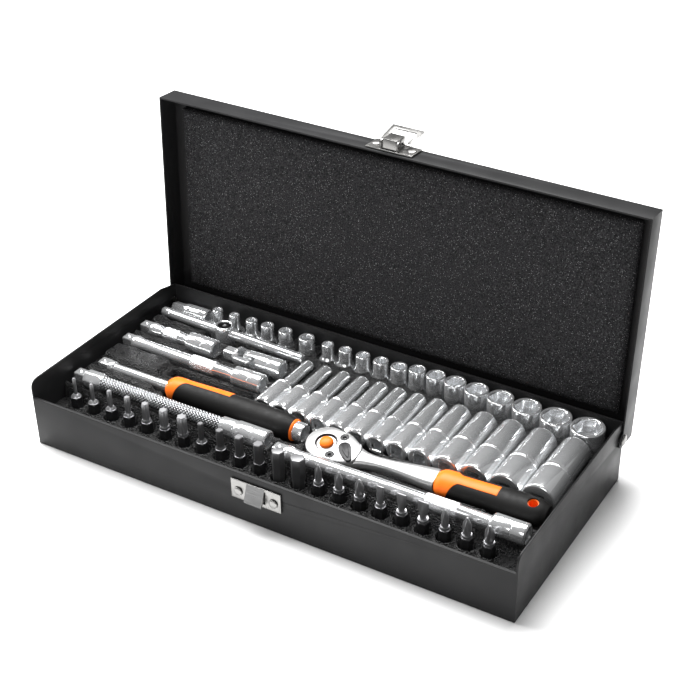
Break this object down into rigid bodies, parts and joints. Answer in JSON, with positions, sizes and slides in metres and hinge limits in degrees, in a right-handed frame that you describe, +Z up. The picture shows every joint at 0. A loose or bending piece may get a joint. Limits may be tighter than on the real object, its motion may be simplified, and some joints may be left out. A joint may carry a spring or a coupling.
{
  "type": "socket wrench set in case",
  "caption": "Socket wrench set for quarter-inch square drive: ratchet, spinner handle, extensions, sliding T-bar, universal joint, sockets and bits in a tray in a hinged steel case",
  "frame": {"origin": "middle of the flat underside of the case, where it rests on a bench", "axes": "+X along the case's length, to the right as seen from the front; +Y towards the hinge; +Z up. The lid is at rest open, leaning back on its rear flange"},
  "size_m": [0.306, 0.1648, 0.1669],
  "materials": {
    "case_paint": "satin black powder coat on folded sheet steel",
    "tray_plastic": "black blow-moulded plastic with a pebble grain",
    "lid_foam": "dark speckled sponge pad",
    "nickel": "bright nickel plate on stamped sheet",
    "polished_chrome": "mirror chrome over turned steel",
    "satin_chrome": "satin chrome over forged steel",
    "woven_steel": "woven steel sheath",
    "bit_steel": "blackened shanks with bare steel tips",
    "grip_rubber": "soft black rubber with a fine matt grain",
    "orange_plastic": "moulded orange plastic, slightly glossy",
    "black_steel": "black oxide and black coated small parts"
  },
  "bodies": {
    "case": {"case_base": "case_paint", "tool_tray": "tray_plastic", "hinge_rivet_left": "nickel", "hinge_rivet_right": "nickel", "keeper_plate": "nickel", "keeper_rivet_left": "nickel", "keeper_rivet_right": "nickel", "short_hex_sockets": "polished_chrome", "short_star_sockets": "polished_chrome", "star_bits": "bit_steel", "hex_bits": "bit_steel", "cross_bits": "bit_steel", "slotted_bits": "bit_steel", "pozi_bits": "bit_steel"},
    "lid": {"case_lid": "case_paint", "lid_foam_pad": "lid_foam", "latch_base": "nickel", "latch_rivet_left": "nickel", "latch_rivet_right": "nickel"},
    "latch_lever": {"latch_lever": "nickel"},
    "latch_bail": {"latch_bail": "nickel"},
    "ratchet": {"ratchet_body": "satin_chrome", "ratchet_cover": "satin_chrome", "cover_screw_front": "black_steel", "cover_screw_back": "black_steel", "ratchet_grip_collar": "orange_plastic", "ratchet_grip_sleeve": "grip_rubber"},
    "reversing_lever": {"reversing_lever": "black_steel"},
    "ratchet_drive": {"ratchet_drive": "polished_chrome"},
    "quick_release_button": {"quick_release_button": "orange_plastic"},
    "spinner": {"spinner_shaft": "polished_chrome", "spinner_grip_collar": "orange_plastic", "spinner_grip_sleeve": "grip_rubber", "spinner_end_drive": "polished_chrome"},
    "t_bar_rod": {"t_bar_rod": "polished_chrome"},
    "t_bar_head": {"t_bar_head": "polished_chrome"},
    "universal_drive_fork": {"universal_drive_fork": "polished_chrome"},
    "universal_cross": {"universal_cross": "polished_chrome"},
    "universal_socket_fork": {"universal_socket_fork": "polished_chrome"},
    "extension_long": {"extension_bar_long": "polished_chrome"},
    "extension_medium": {"extension_bar_medium": "polished_chrome"},
    "extension_short": {"extension_bar_short": "polished_chrome"},
    "flexible_extension": {"flexible_drive_end": "polished_chrome", "flexible_sheath": "woven_steel", "flexible_socket_end": "polished_chrome"},
    "bit_adapter": {"bit_adapter": "polished_chrome"},
    "deep_socket_4mm": {"deep_socket_4mm": "polished_chrome"},
    "deep_socket_4_5mm": {"deep_socket_4_5mm": "polished_chrome"},
    "deep_socket_5mm": {"deep_socket_5mm": "polished_chrome"},
    "deep_socket_5_5mm": {"deep_socket_5_5mm": "polished_chrome"},
    "deep_socket_6mm": {"deep_socket_6mm": "polished_chrome"},
    "deep_socket_7mm": {"deep_socket_7mm": "polished_chrome"},
    "deep_socket_8mm": {"deep_socket_8mm": "polished_chrome"},
    "deep_socket_9mm": {"deep_socket_9mm": "polished_chrome"},
    "deep_socket_10mm": {"deep_socket_10mm": "polished_chrome"},
    "deep_socket_11mm": {"deep_socket_11mm": "polished_chrome"},
    "deep_socket_12mm": {"deep_socket_12mm": "polished_chrome"},
    "deep_socket_13mm": {"deep_socket_13mm": "polished_chrome"},
    "deep_socket_14mm": {"deep_socket_14mm": "polished_chrome"}
  },
  "joints": [
    {"name": "lid_hinge", "type": "hinge", "parent": "case", "child": "lid", "pos_m": [0, 0.063, 0.0295], "axis": [-1, 0, 0], "range_deg": [-92.9, 0]},
    {"name": "latch_lever_hinge", "type": "hinge", "parent": "lid", "child": "latch_lever", "pos_m": [0, 0.07333, 0.16415], "axis": [1, 0, 0], "range_deg": [0, 170]},
    {"name": "latch_bail_hinge", "type": "hinge", "parent": "latch_lever", "child": "latch_bail", "pos_m": [0, 0.07858, 0.16308], "axis": [-1, 0, 0], "range_deg": [-160, 0]},
    {"name": "ratchet_lift", "type": "slide", "parent": "case", "child": "ratchet", "axis": [0, 0, 1], "range_m": [0, 0.04]},
    {"name": "reversing_lever_turn", "type": "hinge", "parent": "ratchet", "child": "reversing_lever", "pos_m": [0.02734, -0.0228, 0.03257], "axis": [0.0077, -0.1907, 0.9816], "range_deg": [0, 100]},
    {"name": "ratchet_drive_turn", "type": "hinge", "parent": "ratchet", "child": "ratchet_drive", "pos_m": [0.0153, -0.0221, 0.0328], "axis": [0.0077, -0.1907, 0.9816], "continuous": true},
    {"name": "button_press", "type": "slide", "parent": "ratchet_drive", "child": "quick_release_button", "axis": [-0.0077, 0.1907, -0.9816], "range_m": [0, 0.001], "stiffness_N_per_m": 400, "springref_m": -0.002},
    {"name": "spinner_lift", "type": "slide", "parent": "case", "child": "spinner", "axis": [0, 0, 1], "range_m": [0, 0.04]},
    {"name": "t_bar_lift", "type": "slide", "parent": "case", "child": "t_bar_rod", "axis": [0, 0, 1], "range_m": [0, 0.04]},
    {"name": "t_bar_head_slide", "type": "slide", "parent": "t_bar_rod", "child": "t_bar_head", "axis": [0.9994, -0.0336, 0], "range_m": [-0.036, 0.046]},
    {"name": "universal_joint_lift", "type": "slide", "parent": "case", "child": "universal_drive_fork", "axis": [0, 0, 1], "range_m": [0, 0.04]},
    {"name": "universal_joint_raise", "type": "hinge", "parent": "universal_drive_fork", "child": "universal_cross", "pos_m": [-0.0685, 0.0285, 0.0295], "axis": [0, -1, 0], "range_deg": [0, 40]},
    {"name": "universal_joint_sideways", "type": "hinge", "parent": "universal_cross", "child": "universal_socket_fork", "pos_m": [-0.0685, 0.0285, 0.0295], "axis": [0, 0, 1], "range_deg": [-10, 10]},
    {"name": "extension_long_lift", "type": "slide", "parent": "case", "child": "extension_long", "axis": [0, 0, 1], "range_m": [0, 0.04]},
    {"name": "extension_medium_lift", "type": "slide", "parent": "case", "child": "extension_medium", "axis": [0, 0, 1], "range_m": [0, 0.04]},
    {"name": "extension_short_lift", "type": "slide", "parent": "case", "child": "extension_short", "axis": [0, 0, 1], "range_m": [0, 0.04]},
    {"name": "flexible_extension_lift", "type": "slide", "parent": "case", "child": "flexible_extension", "axis": [0, 0, 1], "range_m": [0, 0.04]},
    {"name": "bit_adapter_lift", "type": "slide", "parent": "case", "child": "bit_adapter", "axis": [0, 0, 1], "range_m": [0, 0.04]},
    {"name": "deep_socket_4mm_lift", "type": "slide", "parent": "case", "child": "deep_socket_4mm", "axis": [0, 0, 1], "range_m": [0, 0.04]},
    {"name": "deep_socket_4_5mm_lift", "type": "slide", "parent": "case", "child": "deep_socket_4_5mm", "axis": [0, 0, 1], "range_m": [0, 0.04]},
    {"name": "deep_socket_5mm_lift", "type": "slide", "parent": "case", "child": "deep_socket_5mm", "axis": [0, 0, 1], "range_m": [0, 0.04]},
    {"name": "deep_socket_5_5mm_lift", "type": "slide", "parent": "case", "child": "deep_socket_5_5mm", "axis": [0, 0, 1], "range_m": [0, 0.04]},
    {"name": "deep_socket_6mm_lift", "type": "slide", "parent": "case", "child": "deep_socket_6mm", "axis": [0, 0, 1], "range_m": [0, 0.04]},
    {"name": "deep_socket_7mm_lift", "type": "slide", "parent": "case", "child": "deep_socket_7mm", "axis": [0, 0, 1], "range_m": [0, 0.04]},
    {"name": "deep_socket_8mm_lift", "type": "slide", "parent": "case", "child": "deep_socket_8mm", "axis": [0, 0, 1], "range_m": [0, 0.04]},
    {"name": "deep_socket_9mm_lift", "type": "slide", "parent": "case", "child": "deep_socket_9mm", "axis": [0, 0, 1], "range_m": [0, 0.04]},
    {"name": "deep_socket_10mm_lift", "type": "slide", "parent": "case", "child": "deep_socket_10mm", "axis": [0, 0, 1], "range_m": [0, 0.04]},
    {"name": "deep_socket_11mm_lift", "type": "slide", "parent": "case", "child": "deep_socket_11mm", "axis": [0, 0, 1], "range_m": [0, 0.04]},
    {"name": "deep_socket_12mm_lift", "type": "slide", "parent": "case", "child": "deep_socket_12mm", "axis": [0, 0, 1], "range_m": [0, 0.04]},
    {"name": "deep_socket_13mm_lift", "type": "slide", "parent": "case", "child": "deep_socket_13mm", "axis": [0, 0, 1], "range_m": [0, 0.04]},
    {"name": "deep_socket_14mm_lift", "type": "slide", "parent": "case", "child": "deep_socket_14mm", "axis": [0, 0, 1], "range_m": [0, 0.04]}
  ]
}
